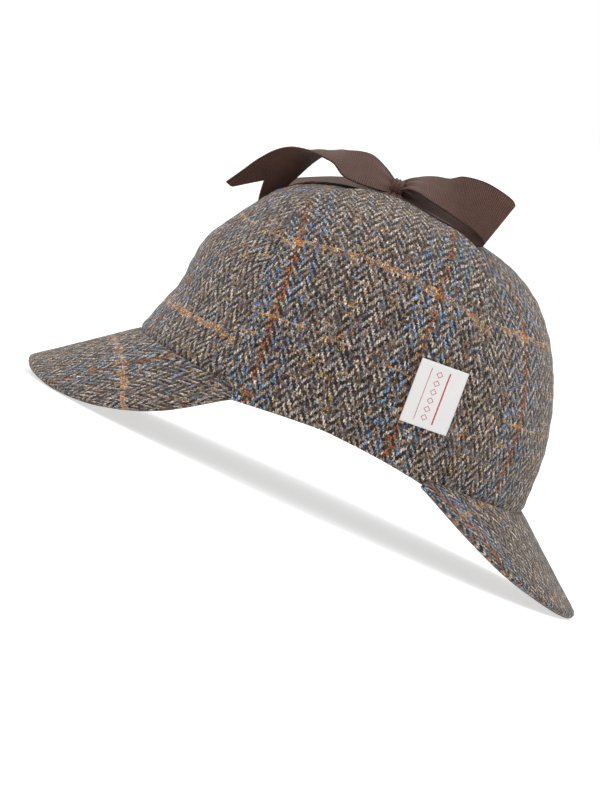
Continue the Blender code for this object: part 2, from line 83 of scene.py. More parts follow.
# The label's pattern: how far it keeps from the ends, its lozenges, and each line's place and half width
LABEL_INSET, LOZENGE, LOZENGE_PLACE = 0.0028, 0.0042, -0.0012
LOZENGE_REACH, LOZENGE_STROKE = 0.34 * LOZENGE, 0.00022
LABEL_LINES = ((0.0034, 0.00036), (-0.0056, 0.00016))

# How the hat stands: its tilt in degrees, front up
HAT_TILT = -1.129

# Crown sections from the rim to the apex: height, front, back and side as shares of the crown's sizes
CROWN_COLUMNS = dict(
    height=(0.000, 0.124, 0.248, 0.372, 0.496, 0.619, 0.726, 0.814, 0.885, 0.938, 0.973, 0.994, 1.000),
    front=(1.000, 0.961, 0.921, 0.915, 0.894, 0.827, 0.760, 0.693, 0.596, 0.468, 0.315, 0.155, 0.000),
    back=(1.000, 0.989, 0.978, 0.949, 0.904, 0.840, 0.770, 0.689, 0.599, 0.488, 0.357, 0.178, 0.000),
    side=(1.000, 1.012, 1.014, 1.000, 0.959, 0.888, 0.806, 0.706, 0.594, 0.465, 0.318, 0.159, 0.000),
)
# A peak's drop from its middle to its end, as shares of the drop at the tip
FRONT_DROPS = (1.000, 1.070, 1.110, 1.025, 0.724, 0.120)
BACK_DROPS = (1.000, 0.980, 0.893, 0.733, 0.435, 0.043)
# A flap from its hem to its tip: the share of the way over the crown, and its edges as shares of half the
# crown's length
FLAP_UP = (0.000, 0.060, 0.170, 0.300, 0.420, 0.540, 0.640, 0.730, 0.800, 0.855, 0.885, 0.900)
FLAP_FRONT = (-0.505, -0.530, -0.542, -0.565, -0.566, -0.566, -0.560, -0.530, -0.475, -0.400, -0.345, -0.305)
FLAP_BACK = (0.560, 0.566, 0.556, 0.549, 0.522, 0.470, 0.420, 0.360, 0.285, 0.165, 0.030, -0.085)
# Ribbons, a row for each section, in ribbon widths from the knot's place and the crown's height: side, along
# and rise of the near edge, the same of the far edge, and how far the ribbon bows up between them
REAR_LOOP = (
    (0.20, 0.11, 0.22, -0.16, 0.05, 0.38, 0.02),
    (0.44, 0.23, 0.31, -0.16, 0.20, 0.53, 0.03),
    (0.72, 0.41, 0.34, -0.12, 0.39, 0.66, 0.02),
    (0.84, 0.72, 0.30, 0.00, 0.62, 0.77, 0.02),
    (0.88, 1.05, 0.26, 0.12, 0.87, 0.85, 0.02),
    (0.94, 1.36, 0.21, 0.46, 1.10, 1.02, 0.00),
    (0.96, 1.66, 0.17, 0.72, 1.50, 1.11, 0.00),
    (0.98, 1.87, 0.11, 0.76, 1.87, 1.09, 0.00),
    (0.98, 1.99, 0.04, 0.80, 2.16, 1.03, 0.00),
    (0.95, 2.02, -0.03, 0.78, 2.25, 0.94, 0.00),
    (0.92, 1.96, -0.09, 0.60, 2.17, 0.85, 0.00),
    (0.92, 1.74, -0.15, 0.34, 1.88, 0.68, 0.00),
    (0.92, 1.42, -0.13, 0.12, 1.50, 0.52, -0.03),
    (0.94, 1.12, -0.09, 0.00, 1.15, 0.44, -0.05),
    (0.88, 0.84, -0.08, -0.10, 0.86, 0.42, -0.06),
    (0.66, 0.52, -0.08, -0.16, 0.54, 0.40, -0.06),
    (0.20, 0.10, 0.02, -0.18, 0.12, 0.30, -0.02),
)
FRONT_TAIL = (
    (0.16, -0.03, 0.13, -0.16, -0.08, 0.32, 0.02),
    (0.36, -0.23, 0.06, -0.28, -0.38, 0.48, 0.03),
    (0.44, -0.53, 0.01, -0.34, -0.70, 0.59, 0.02),
    (0.44, -0.85, -0.02, -0.36, -0.95, 0.56, 0.02),
    (0.44, -1.10, 0.00, -0.42, -1.18, 0.47, 0.03),
    (0.44, -1.34, 0.13, -0.52, -1.39, 0.38, 0.08),
    (0.40, -1.56, 0.15, -0.60, -1.57, 0.20, 0.12),
    (0.32, -1.80, 0.15, -0.67, -1.70, 0.01, 0.13),
    (0.20, -2.03, 0.12, -0.72, -1.81, -0.22, 0.05),
    (0.08, -2.29, 0.03, -0.72, -1.90, -0.45, 0.00),
    (-0.04, -2.53, -0.16, -0.74, -2.00, -0.69, 0.00),
    (-0.14, -2.76, -0.47, -0.78, -2.09, -0.93, 0.00),
    (-0.20, -2.94, -0.80, -0.84, -2.16, -1.18, 0.00),
    (-0.24, -3.14, -1.16, -0.86, -2.22, -1.45, 0.00),
)
FAR_TAIL = (
    (-0.02, -0.08, 0.02, -0.20, -0.08, 0.10, 0.00),
    (-0.08, -0.45, -0.16, -0.78, -0.50, 0.06, 0.00),
    (-0.12, -0.85, -0.28, -1.06, -0.88, -0.02, 0.00),
    (-0.13, -1.18, -0.42, -1.10, -1.22, -0.15, 0.00),
    (-0.18, -1.50, -0.58, -1.14, -1.52, -0.30, 0.00),
    (-0.34, -1.80, -0.74, -1.24, -1.84, -0.48, 0.00),
    (-0.56, -2.08, -0.94, -1.46, -2.12, -0.66, 0.00),
    (-0.80, -2.34, -1.20, -1.68, -2.38, -0.90, 0.00),
)

# Tweed: the spacing of its yarns, the ends in one slant of the herringbone, and the overcheck's repeats
END_PITCH, PICK_PITCH = 0.00094, 0.001335
SLANT_ENDS = 5
CHECK_ENDS, CHECK_PICKS = 80, 76
# The overcheck's lines: blue and mustard ends counted from the rust one, and faint picks from the orange one
BLUE_FROM_RUST = (5.5, 11.5)
MUSTARD_FROM_RUST = 37.5
FAINT_PICKS = (33.5, 42.5)
TWEED_TONE = 0.86
# Other weaves: the ribbon's ribs and threads, and the label's threads
RIB_PITCH, RIBBON_THREAD, LABEL_THREAD = 0.00085, 0.00036, 0.00040

# How far seams and the rim sink, and how broadly, and the roll of a flap's edge
SEAM_DEPTH, SEAM_ROLL = 0.0011, 0.0016
RIM_DEPTH, RIM_ROLL = 0.0013, 0.0020
EDGE_ROLL = 0.0018
# The lump sizes of uneven cloth, and the cells of the lattice that they are read from
COARSE_LUMP, FINE_LUMP, LATTICE = 0.0180, 0.0035, 64
# Samples along a cut of the crown, and the step for its slopes
CUT_SAMPLES = 240
SMALL_STEP = 1e-4

# Camera: the point of the hat, in its own frame, that the picture's middle shows
PICTURE_MIDDLE = (0.0, -0.01824, 0.00210)
CAMERA_DISTANCE, CAMERA_ELEVATION, CAMERA_ROLL = 3.0, 4.0, 24.64
METRES_PER_PIXEL, PICTURE_HEIGHT, SENSOR = 0.0005, 800, 36.0

# Studio
FLOOR_RADIUS, FLOOR_GREY, FLOOR_GLOW = 20.0, 0.55, 0.60
WHITE = (1.0, 1.0, 1.0, 1.0)


def smooth_column(values, place):
    """A cubic curve through evenly spaced values at places 0 to 1, with its slopes from their neighbours."""
    values = np.asarray(values, float)
    place = np.clip(place, 0.0, 1.0) * (len(values) - 1)
    left = np.minimum(place.astype(int), len(values) - 2)
    part = place - left
    slopes = np.gradient(values)
    rise = values[left + 1] - values[left]
    start, end = slopes[left], slopes[left + 1]
    return (
        values[left]
        + start * part
        + (3 * rise - 2 * start - end) * part**2
        + (start + end - 2 * rise) * part**3
    )


def crown_column(name, way):
    """One column of the crown's sections at a way from 0, the rim, to 1, the apex, and smooth there."""
    values = list(CROWN_COLUMNS[name])
    sign = 1 if name == "height" else -1
    rows = len(values)
    values += [sign * value for value in values[-2:-4:-1]]
    return smooth_column(values, np.asarray(way) * (rows - 1) / (len(values) - 1))


def crown_point(angle, way):
    """The crown's outer face: an ellipse at each way, its half sizes the sections' side, front and back."""
    angle, way = np.broadcast_arrays(np.asarray(angle, float), np.asarray(way, float))
    forward = np.cos(angle)
    along = np.where(forward > 0, crown_column("front", way), crown_column("back", way))
    return np.stack(
        [
            HALF_WIDTH * crown_column("side", way) * np.sin(angle),
            -HALF_LENGTH * along * forward,
            CROWN_HEIGHT * crown_column("height", way),
        ],
        axis=-1,
    )


def unit(vectors):
    return vectors / np.maximum(np.linalg.norm(vectors, axis=-1, keepdims=True), 1e-12)


def grid_normals(points):
    """Normals of a grid: its slope down the rows, crossed with its slope along the columns."""
    return unit(np.cross(np.gradient(points, axis=0), np.gradient(points, axis=1)))


def crown_normal(angle, way):
    """The outward normal of the crown, from its slopes across two small steps."""
    across = crown_point(angle + SMALL_STEP, way) - crown_point(angle - SMALL_STEP, way)
    upward = crown_point(angle, way + SMALL_STEP) - crown_point(angle, way - SMALL_STEP)
    return unit(np.cross(across, upward))


def over_crown(along, up):
    """Points on the crown's left side, at places along the hat and shares of the way up the cut across it.

    Each cut is sampled, its length is summed from the rim, and the point is read between two samples.
    """
    way = np.linspace(0.0, 1.0, CUT_SAMPLES).reshape((-1,) + (1,) * along.ndim)
    front, back = crown_column("front", way), crown_column("back", way)
    reach = HALF_LENGTH * np.where(along < 0, front, back)
    inside = 1.0 - (along / np.maximum(reach, 1e-9)) ** 2
    side = HALF_WIDTH * crown_column("side", way) * np.sqrt(np.maximum(inside, 0.0))
    height = CROWN_HEIGHT * crown_column("height", way) + 0.0 * along
    top = np.max(np.where(inside >= 0, height, 0.0), axis=0)
    height = np.minimum(height, top)
    steps = np.hypot(np.diff(side, axis=0), np.diff(height, axis=0))
    length = np.concatenate([np.zeros((1,) + along.shape), np.cumsum(steps, axis=0)])
    reached = up * length[-1]
    after = np.clip((length < reached).sum(axis=0), 1, CUT_SAMPLES - 1)[None]
    before = after - 1
    low, high = np.take_along_axis(length, before, 0)[0], np.take_along_axis(length, after, 0)[0]
    share = np.clip((reached - low) / np.maximum(high - low, 1e-12), 0.0, 1.0)
    ends = [[np.take_along_axis(row, pick, 0)[0] for pick in (before, after)] for row in (side, height)]
    x, z = [start + (end - start) * share for start, end in ends]
    return np.stack([x, along + 0.0 * x, z], axis=-1)


def crown_top(side, along):
    """How high the crown's outer face is over points in plan: the highest section that still holds them."""
    way = np.linspace(0.0, 1.0, CUT_SAMPLES).reshape((-1,) + (1,) * side.ndim)
    reach = HALF_LENGTH * np.where(along < 0, crown_column("front", way), crown_column("back", way))
    breadth = HALF_WIDTH * crown_column("side", way)
    inside = (side / np.maximum(breadth, 1e-9)) ** 2 + (along / np.maximum(reach, 1e-9)) ** 2 < 1
    return CROWN_HEIGHT * crown_column("height", inside.sum(axis=0) / (CUT_SAMPLES - 1))


def lumps(u, v, size, seed):
    """Smooth noise from -1 to 1: random numbers on a lattice of that size, eased between its corners."""
    lattice = np.random.default_rng(seed).uniform(-1.0, 1.0, (LATTICE, LATTICE))
    x, y = np.asarray(u) / size, np.asarray(v) / size
    column, row = np.floor(x).astype(int), np.floor(y).astype(int)
    x, y = x - column, y - row
    x, y = x * x * (3 - 2 * x), y * y * (3 - 2 * y)
    corner = [[lattice[(row + j) % LATTICE, (column + i) % LATTICE] for i in (0, 1)] for j in (0, 1)]
    near = corner[0][0] + (corner[0][1] - corner[0][0]) * x
    far = corner[1][0] + (corner[1][1] - corner[1][0]) * x
    return near + (far - near) * y


def eased(share):
    share = np.clip(share, 0.0, 1.0)
    return share * share * (3 - 2 * share)


def rounded(distance, roll):
    """A quarter round: 0 at an edge, rising to 1 at the roll's distance from it."""
    return np.sqrt(np.maximum(1.0 - (1.0 - np.clip(distance / roll, 0.0, 1.0)) ** 2, 0.0))


def run_length(points, axis):
    """The distance walked along a grid's rows or columns, from its first one."""
    steps = np.linalg.norm(np.diff(points, axis=axis), axis=-1)
    first = np.zeros_like(np.take(points[..., 0], [0], axis=axis))
    return np.concatenate([first, np.cumsum(steps, axis=axis)], axis=axis)


def edge_distance(points):
    """How far each point of a grid is from the grid's nearest edge, along its row or its column."""
    down, across = run_length(points, 0), run_length(points, 1)
    return np.minimum(np.minimum(down, down[-1:] - down), np.minimum(across, across[:, -1:] - across))


HAT_TURN = np.array(Matrix.Rotation(math.radians(HAT_TILT), 3, "X"))
knot_low, knot_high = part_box("ribbon_knot")
KNOT_CENTRE = np.array([0.0, -KNOT_PLACE, CROWN_HEIGHT + SEAM_GAP + KNOT_HEIGHT / 2])
HAT_PLACE = np.array((knot_low + knot_high) / 2) - HAT_TURN @ KNOT_CENTRE


def settle(points):
    """The hat's own frame to the frame of the solids."""
    return points @ HAT_TURN.T + HAT_PLACE


def add_piece(name, points, faces, cloth, finish):
    """The piece that stands for the solid of that name. cloth holds each point's place on the flat cloth."""
    mesh = bpy.data.meshes.new(name + "_cloth")
    mesh.from_pydata(settle(points).tolist(), [], faces)
    place = np.zeros((len(points), 3), np.float32)
    place[:, :2] = cloth
    attribute = mesh.attributes.new("cloth", "FLOAT_VECTOR", "POINT")
    attribute.data.foreach_set("vector", place.ravel())
    mesh.shade_smooth()
    mesh.set_sharp_from_angle(angle=math.radians(60))
    mesh.materials.append(finish)
    piece = bpy.data.objects.new(name + "_cloth", mesh)
    bpy.context.scene.collection.objects.link(piece)
    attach(piece, "root")
    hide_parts(name)
    return piece


def grid_quads(rows, columns, first=0):
    """The corners of each square of a grid whose points are numbered row by row."""
    corner = (np.arange(rows - 1)[:, None] * columns + np.arange(columns - 1)).ravel() + first
    return np.stack([corner, corner + 1, corner + columns + 1, corner + columns], axis=-1)


def shell_mesh(outer, inner):
    """Points and faces of a closed sheet between two grids, its four edges walled and its faces outward."""
    rows, columns = outer.shape[:2]
    count = rows * columns
    top = count - columns
    rim = np.concatenate(
        [
            np.arange(columns - 1),
            np.arange(columns - 1, count - 1, columns),
            np.arange(count - 1, top, -1),
            np.arange(top, 0, -columns),
        ]
    )
    after = np.roll(rim, -1)
    walls = np.stack([after, rim, rim + count, after + count], axis=-1)
    faces = np.concatenate([grid_quads(rows, columns), grid_quads(rows, columns, count)[:, ::-1], walls])
    across = np.cross(np.gradient(outer, axis=1), np.gradient(outer, axis=0))
    if (across * (outer - inner)).sum() < 0:
        faces = faces[:, ::-1]
    return np.concatenate([outer.reshape(-1, 3), inner.reshape(-1, 3)]), faces


def add_shell(name, outer, inner, cloth, finish):
    """The closed sheet between two grids, as the piece that stands for the solid of that name."""
    points, faces = shell_mesh(outer, inner)
    flat = cloth.reshape(-1, 2)
    return add_piece(name, points, faces.tolist(), np.concatenate([flat, flat]), finish)


def srgb(code):
    """A colour given as red, green and blue from 0 to 255, in the linear values that a shader takes."""
    part = np.array([code >> 16 & 255, code >> 8 & 255, code & 255]) / 255
    return (*np.where(part < 0.04045, part / 12.92, ((part + 0.055) / 1.055) ** 2.4), 1.0)


class Recipe:
    """The nodes of one material. Each method adds one node and returns the socket that carries its result."""

    def __init__(self, name, roughness, sheen=0.0, sheen_tint=WHITE, specular=0.5):
        self.material = bpy.data.materials.new(name)
        self.material.use_nodes = True
        self.tree = self.material.node_tree
        self.shader = self.tree.nodes["Principled BSDF"]
        self.shader.inputs["Roughness"].default_value = roughness
        self.shader.inputs["Sheen Weight"].default_value = sheen
        self.shader.inputs["Sheen Tint"].default_value = sheen_tint
        self.shader.inputs["Specular IOR Level"].default_value = specular

    def put(self, source, socket):
        if isinstance(source, bpy.types.NodeSocket):
            self.tree.links.new(source, socket)
        else:
            socket.default_value = source

    def node(self, kind, **settings):
        node = self.tree.nodes.new(kind)
        for key, value in settings.items():
            setattr(node, key, value)
        return node

    def cloth_place(self):
        """Across and along, in metres, on the flat cloth."""
        source = self.node("ShaderNodeAttribute", attribute_name="cloth")
        parts = self.node("ShaderNodeSeparateXYZ")
        self.put(source.outputs["Vector"], parts.inputs[0])
        return parts.outputs["X"], parts.outputs["Y"]

    def math(self, operation, *terms):
        node = self.node("ShaderNodeMath", operation=operation)
        for term, socket in zip(terms, node.inputs):
            self.put(term, socket)
        return node.outputs[0]

    def spread(self, value, low, high, to_low=0.0, to_high=1.0):
        """The value carried from one range to another, eased and held at its ends."""
        node = self.node("ShaderNodeMapRange", interpolation_type="SMOOTHSTEP")
        for term, socket in zip((value, low, high, to_low, to_high), node.inputs):
            self.put(term, socket)
        return node.outputs[0]

    def vector(self, x, y, z=0.0):
        node = self.node("ShaderNodeCombineXYZ")
        for term, socket in zip((x, y, z), node.inputs):
            self.put(term, socket)
        return node.outputs[0]

    def noise(self, vector, size, detail=2.0, distortion=0.0, output="Fac"):
        """Soft noise from 0 to 1 whose lumps are about as large as the size."""
        node = self.node("ShaderNodeTexNoise")
        self.put(vector, node.inputs["Vector"])
        self.put(1.0 / size, node.inputs["Scale"])
        self.put(detail, node.inputs["Detail"])
        self.put(distortion, node.inputs["Distortion"])
        return node.outputs[output]

    def jitter(self, vector, size):
        """Two soft noises from 0 to 1 whose lumps are about as large as the size."""
        parts = self.node("ShaderNodeSeparateColor")
        self.put(self.noise(vector, size, detail=1.0, output="Color"), parts.inputs[0])
        return parts.outputs[0], parts.outputs[1]

    def ribs(self, place, pitch):
        """A wave from 0 to 1 that repeats at the pitch."""
        wave = self.math("COSINE", self.math("MULTIPLY", place, math.tau / pitch))
        return self.math("MULTIPLY_ADD", wave, 0.5, 0.5)

    def chance(self, vector):
        """A random number from 0 to 1 for each whole-numbered place."""
        node = self.node("ShaderNodeTexWhiteNoise", noise_dimensions="3D")
        self.put(vector, node.inputs["Vector"])
        return node.outputs["Value"]

    def beside(self, count, place, chance, reach):
        """Picks out the yarns at a place in the count, and by chance some of their neighbours in reach."""
        away = self.math("ABSOLUTE", self.math("SUBTRACT", count, place))
        return self.math("LESS_THAN", self.math("MULTIPLY_ADD", chance, 2.0, away), reach)

    def mix(self, share, first, second):
        node = self.node("ShaderNodeMix", data_type="RGBA")
        self.put(share, node.inputs["Factor"])
        self.put(first, node.inputs[6])
        self.put(second, node.inputs[7])
        return node.outputs[2]

    def darken(self, colour, share):
        node = self.node("ShaderNodeMix", data_type="RGBA", blend_type="MULTIPLY")
        node.inputs["Factor"].default_value = 1.0
        grey = self.node("ShaderNodeCombineColor")
        for socket in grey.inputs[:3]:
            self.put(share, socket)
        self.put(colour, node.inputs[6])
        self.put(grey.outputs[0], node.inputs[7])
        return node.outputs[2]

    def ramp(self, value, stops):
        """A band of colours, each held from its own place to the next one."""
        node = self.node("ShaderNodeValToRGB")
        node.color_ramp.interpolation = "CONSTANT"
        elements = node.color_ramp.elements
        while len(elements) < len(stops):
            elements.new(0.5)
        for element, (place, colour) in zip(elements, stops):
            element.position = place
            element.color = colour
        self.put(value, node.inputs[0])
        return node.outputs[0]

    def finish(self, colour, height, depth, strength=1.0):
        """Sends the colour and the bump, whose height of 1 stands for the depth, to the shader."""
        bump = self.node("ShaderNodeBump")
        self.put(strength, bump.inputs["Strength"])
        self.put(depth, bump.inputs["Distance"])
        self.put(height, bump.inputs["Height"])
        self.put(bump.outputs[0], self.shader.inputs["Normal"])
        self.put(colour, self.shader.inputs["Base Color"])
        return self.material


def arched(recipe, across, along):
    """The height of a yarn's float: round across it, and falling off only near its two ends."""
    cross = recipe.math("MULTIPLY_ADD", across, 2.0, -1.0)
    length = recipe.math("MULTIPLY_ADD", along, 2.0, -1.0)
    round_part = recipe.math("SQRT", recipe.math("SUBTRACT", 1.0, recipe.math("MULTIPLY", cross, cross)))
    end_part = recipe.math("SUBTRACT", 1.0, recipe.math("POWER", recipe.math("ABSOLUTE", length), 4.0))
    return recipe.math("MULTIPLY", round_part, end_part)


def tweed():
    """A two and two herringbone of light ends and dark picks, with an overcheck of coloured yarns.

    Ends run up the cloth and picks across it. Each is numbered, and each of its floats has a colour by chance.
    The slant turns round after each stripe of ends, and skips a step there, which breaks the herringbone.
    """
    wool = (0.92, 0.88, 0.82, 1.0)
    r = Recipe("herringbone_tweed", roughness=0.95, sheen=0.25, sheen_tint=wool, specular=0.15)
    u, v = r.cloth_place()
    for size, reach in ((0.0070, 0.0020), (0.0014, 0.0015)):
        sway = r.jitter(r.vector(u, v, size * 100), size)
        u = r.math("MULTIPLY_ADD", r.math("SUBTRACT", sway[0], 0.5), reach, u)
        v = r.math("MULTIPLY_ADD", r.math("SUBTRACT", sway[1], 0.5), reach, v)

    ends, picks = r.math("DIVIDE", u, END_PITCH), r.math("DIVIDE", v, PICK_PITCH)
    end, pick = r.math("FLOOR", ends), r.math("FLOOR", picks)
    across, along = r.math("FRACT", ends), r.math("FRACT", picks)
    stripe = r.math("FLOOR", r.math("DIVIDE", r.math("ADD", end, 0.5), float(SLANT_ENDS)))
    in_stripe = r.math("SUBTRACT", end, r.math("MULTIPLY", stripe, float(SLANT_ENDS)))
    back = r.math("FLOORED_MODULO", stripe, 2.0)
    slant = r.math("MULTIPLY_ADD", back, -2.0, 1.0)
    step = r.math("MULTIPLY_ADD", back, SLANT_ENDS + 1.0, r.math("MULTIPLY_ADD", in_stripe, slant, pick))
    turn = r.math("FLOORED_MODULO", step, 4.0)
    warp_up = r.math("LESS_THAN", turn, 1.5)

    warp_along = r.math("DIVIDE", r.math("ADD", turn, along), 2.0)
    forward = r.math("ADD", r.math("SUBTRACT", turn, 2.0), across)
    backward = r.math("ADD", r.math("SUBTRACT", 3.0, turn), across)
    turned = r.math("MULTIPLY", back, r.math("SUBTRACT", backward, forward))
    weft_along = r.math("DIVIDE", r.math("ADD", turned, forward), 2.0)
    warp_height = arched(r, across, warp_along)
    weft_height = arched(r, along, weft_along)

    float_number = r.math("FLOOR", r.math("DIVIDE", step, 4.0))
    warp_chance = r.chance(r.vector(end, float_number, 1.0))
    weft_chance = r.chance(r.vector(r.math("MULTIPLY_ADD", stripe, 9.0, float_number), pick, 2.0))
    warp_colour = r.ramp(
        warp_chance,
        [
            (0.00, srgb(0x6E6462)),
            (0.14, srgb(0x887C78)),
            (0.28, srgb(0x9A8F86)),
            (0.42, srgb(0xB2A495)),
            (0.56, srgb(0xA2978F)),
            (0.68, srgb(0x94795C)),
            (0.76, srgb(0xC0B2A2)),
            (0.86, srgb(0x7C828C)),
            (0.93, srgb(0x5A4C46)),
        ],
    )
    weft_colour = r.ramp(
        weft_chance,
        [
            (0.00, srgb(0x332826)),
            (0.26, srgb(0x4A3B33)),
            (0.46, srgb(0x282222)),
            (0.62, srgb(0x604E3E)),
            (0.76, srgb(0x373740)),
            (0.86, srgb(0x806C58)),
            (0.95, srgb(0x585B6E)),
        ],
    )

    group = r.math("PINGPONG", r.math("ADD", end, 0.5), CHECK_ENDS / 2.0)
    row = r.math("FLOORED_MODULO", r.math("ADD", pick, 0.5), float(CHECK_PICKS))
    line = r.math("PINGPONG", row, CHECK_PICKS / 2.0)
    shade = r.chance(r.vector(end, pick, 7.0))
    rust = r.beside(group, 0.5, warp_chance, 1.7)
    mustard = r.beside(group, MUSTARD_FROM_RUST, warp_chance, 0.6)
    blue = [r.beside(group, place, warp_chance, 1.8) for place in BLUE_FROM_RUST]
    warp_colour = r.mix(mustard, warp_colour, r.mix(shade, srgb(0xA8622E), srgb(0xB8923E)))
    warp_colour = r.mix(rust, warp_colour, r.mix(shade, srgb(0x934A24), srgb(0xB87242)))
    warp_colour = r.mix(r.math("MAXIMUM", *blue), warp_colour, r.mix(shade, srgb(0x4C6E96), srgb(0x84A2BE)))
    orange = r.beside(line, 0.5, weft_chance, 1.6)
    faint = [r.beside(row, place, weft_chance, 0.9) for place in FAINT_PICKS]
    coloured = r.math("MAXIMUM", orange, r.math("MAXIMUM", *faint))
    weft_colour = r.mix(coloured, weft_colour, r.mix(shade, srgb(0xAC6C34), srgb(0xBE8F52)))

    colour = r.mix(warp_up, weft_colour, warp_colour)
    fleck = r.math("GREATER_THAN", r.chance(r.vector(pick, end, 9.0)), 0.93)
    flecks = [(0.0, srgb(0x5C7490)), (0.26, srgb(0x8C5838)), (0.52, srgb(0x947C4C)), (0.78, srgb(0x7C8FA4))]
    colour = r.mix(fleck, colour, r.ramp(shade, flecks))
    height = r.math("MULTIPLY_ADD", warp_up, r.math("SUBTRACT", warp_height, weft_height), weft_height)
    fibre = r.noise(r.vector(u, v, 1.0), 0.00070, detail=3.0, distortion=1.5)
    height = r.math("MULTIPLY_ADD", fibre, 0.8, height)
    # Painted shade: the colour is darkened where the yarns sink, standing for the shade that falls in the gaps
    # between floats
    depth = r.spread(height, 0.45, 1.30, 0.38, 1.12)
    fuzz = r.spread(r.noise(r.vector(u, v, 2.0), 0.00060, detail=3.0), 0.34, 0.66, 0.30, 1.70)
    heather = r.spread(r.noise(r.vector(u, v, 4.0), 0.0060, detail=2.0), 0.25, 0.75, 0.84, 1.16)
    # The painted shade in the gaps, times the fibres' random brightness, the heather and the cloth's overall
    # tone
    painted_shade_and_tone = r.math("MULTIPLY", r.math("MULTIPLY", depth, fuzz), r.math("MULTIPLY", heather, TWEED_TONE))
    return r.finish(r.darken(colour, painted_shade_and_tone), height, depth=0.00035, strength=0.9)


def grosgrain():
    """Dark brown ribbon: fine ribs straight across it, crossed by finer threads along it."""
    brown = (0.85, 0.62, 0.54, 1.0)
    r = Recipe("brown_grosgrain", roughness=0.62, sheen=0.12, sheen_tint=brown, specular=0.28)
    across, along = r.cloth_place()
    ribs, threads = r.ribs(along, RIB_PITCH), r.ribs(across, RIBBON_THREAD)
    speckle = r.noise(r.vector(across, along), 0.00055, detail=3.0)
    cloud = r.noise(r.vector(across, along, 2.0), 0.0070, detail=2.0)
    height = r.math("MULTIPLY_ADD", threads, 0.18, ribs)
    # The speckle is the ribbon's mottled grain, made strong enough to stand also for painted sheen specks
    share = r.math("ADD", r.math("MULTIPLY", ribs, 0.50), r.math("MULTIPLY", speckle, 1.30))
    share = r.math("MULTIPLY_ADD", cloud, 0.30, share)
    colour = r.mix(r.spread(share, 0.60, 1.40), srgb(0x22120E), srgb(0x5F4036))
    edge = RIBBON_WIDTH / 2
    selvedge = r.spread(r.math("ABSOLUTE", across), edge - 0.0010, edge - 0.0004, 1.0, 0.6)
    return r.finish(r.darken(colour, selvedge), height, depth=0.00016, strength=0.8)


def label_weave():
    """White satin weave with a row of small red lozenges, between a broad red line and a fine one."""
    r = Recipe("woven_label_satin", roughness=0.75, sheen=0.15, specular=0.3)
    across, along = r.cloth_place()
    threads = r.ribs(along, LABEL_THREAD)
    speckle = r.noise(r.vector(across, along), 0.00050, detail=2.0)
    share = r.math("ADD", r.math("MULTIPLY", threads, 0.3), r.math("MULTIPLY", speckle, 0.7))
    white = r.mix(share, srgb(0xC6C5C4), srgb(0xE4E3E2))
    frayed = r.math("MULTIPLY", r.math("SUBTRACT", speckle, 0.5), 0.00030)
    inset = r.math("SUBTRACT", LABEL_HEIGHT / 2 - LABEL_INSET, r.math("ABSOLUTE", along))
    repeat = r.math("SUBTRACT", r.math("FRACT", r.math("DIVIDE", along, LOZENGE)), 0.5)
    up = r.math("ABSOLUTE", r.math("MULTIPLY", repeat, LOZENGE))
    side = r.math("ABSOLUTE", r.math("SUBTRACT", across, LOZENGE_PLACE))
    rim = r.math("ABSOLUTE", r.math("SUBTRACT", r.math("ADD", up, side), LOZENGE_REACH))
    red = r.math("LESS_THAN", r.math("ADD", rim, frayed), LOZENGE_STROKE)
    for middle, half in LABEL_LINES:
        away = r.math("ABSOLUTE", r.math("SUBTRACT", across, middle))
        red = r.math("MAXIMUM", red, r.math("LESS_THAN", r.math("ADD", away, frayed), half))
    red = r.math("MULTIPLY", red, r.math("GREATER_THAN", inset, 0.0))
    colour = r.mix(red, white, srgb(0xB23A4E))
    return r.finish(colour, r.math("MULTIPLY_ADD", red, 0.5, threads), depth=0.00010, strength=0.6)


TWEED, GROSGRAIN, LABEL_WEAVE = tweed(), grosgrain(), label_weave()


def crown_stride(angle, way):
    """The distance that one radian of turn covers on the crown."""
    sideways = crown_point(angle + SMALL_STEP, way) - crown_point(angle - SMALL_STEP, way)
    return np.linalg.norm(sideways, axis=-1) / (2 * SMALL_STEP)


def gore_cloth(angle, way, middle):
    """A gore's place on its flat cloth: across from its middle line, and up from the rim."""
    up = run_length(crown_point(middle + 0.0 * way, way), 0)
    return np.stack([(angle - middle) * crown_stride(angle, way), up + 0.0 * angle], axis=-1)


def uneven_cloth(across, up, seed, step, depth, coarse=COARSE_LUMP):
    """Coarse and fine lumps of a cloth, drawn from a seed and from the one a step after it."""
    return depth * lumps(across, up, coarse, seed) + 0.00010 * lumps(across, up, FINE_LUMP, seed + step)


